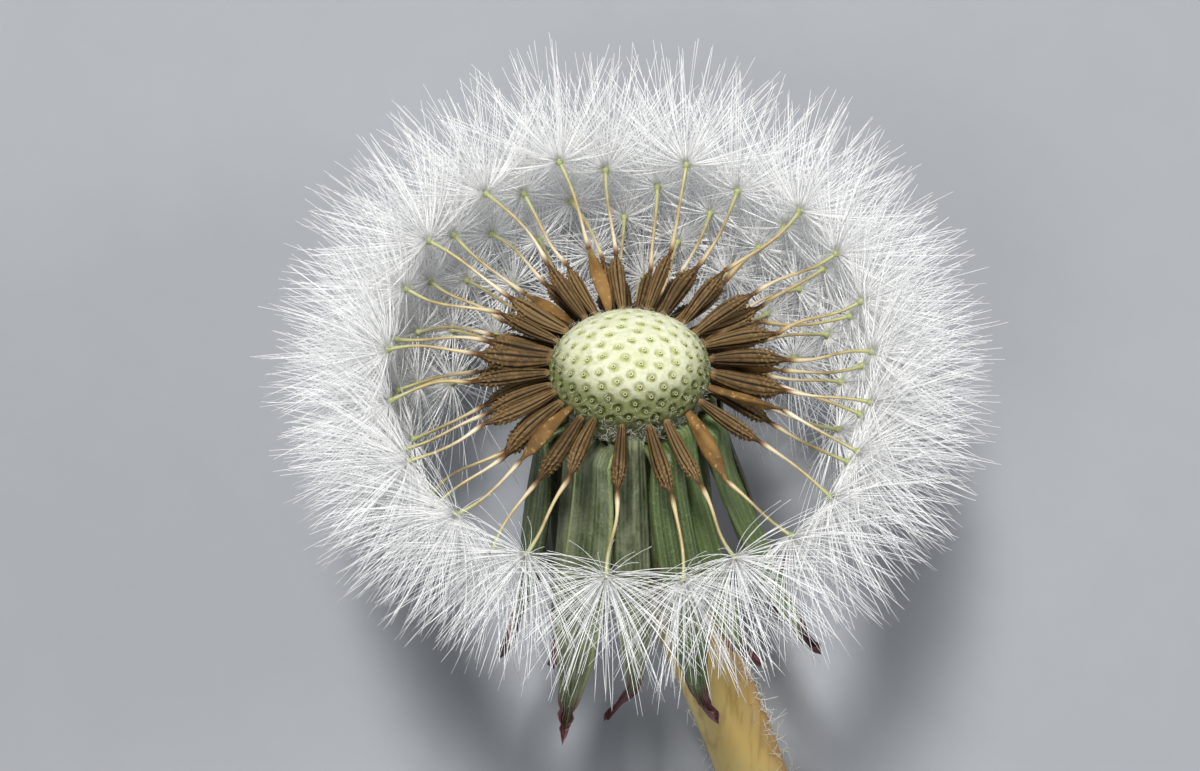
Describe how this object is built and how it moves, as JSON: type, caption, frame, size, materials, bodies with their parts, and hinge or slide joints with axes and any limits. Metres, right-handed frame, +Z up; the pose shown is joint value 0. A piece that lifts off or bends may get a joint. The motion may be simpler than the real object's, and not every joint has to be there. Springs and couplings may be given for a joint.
{
  "type": "dandelion seed head",
  "caption": "Ripe dandelion clock, picked and lying down: a bare domed crown ringed by seeds with white parachutes, green bracts hanging back and a short hollow stem.",
  "frame": {"origin": "middle of the underside of the part's box, on the surface that it lies on", "axes": "+Z up from the surface, +Y from the cut stem towards the crown, +X to the right seen from above"},
  "size_m": [0.046, 0.0528, 0.0367],
  "materials": {
    "receptacle": "matte, pale green to cream, slightly downy",
    "achene": "matte brown, ribbed, with small spines near the tip",
    "beak": "satin straw to pale green",
    "pappus": "fine silky white hairs",
    "inner_bract": "satin grey-green with maroon tips",
    "outer_bract": "satin dull green",
    "stem": "satin, translucent ochre"
  },
  "bodies": {
    "root": {"receptacle_with_achenes": "receptacle", "pappus": "pappus", "stem": "stem", "inner_bract_01": "inner_bract", "inner_bract_02": "inner_bract", "inner_bract_03": "inner_bract", "inner_bract_04": "inner_bract", "inner_bract_05": "inner_bract", "inner_bract_06": "inner_bract", "inner_bract_07": "inner_bract", "inner_bract_08": "inner_bract", "inner_bract_09": "inner_bract", "inner_bract_10": "inner_bract", "inner_bract_11": "inner_bract", "inner_bract_12": "inner_bract", "inner_bract_13": "inner_bract", "inner_bract_14": "inner_bract", "inner_bract_15": "inner_bract", "inner_bract_16": "inner_bract", "outer_bract_01": "outer_bract", "outer_bract_02": "outer_bract", "outer_bract_03": "outer_bract", "outer_bract_04": "outer_bract", "outer_bract_05": "outer_bract", "outer_bract_06": "outer_bract", "outer_bract_07": "outer_bract", "outer_bract_08": "outer_bract", "outer_bract_09": "outer_bract", "outer_bract_10": "outer_bract", "outer_bract_11": "outer_bract", "outer_bract_12": "outer_bract"}
  },
  "joints": []
}
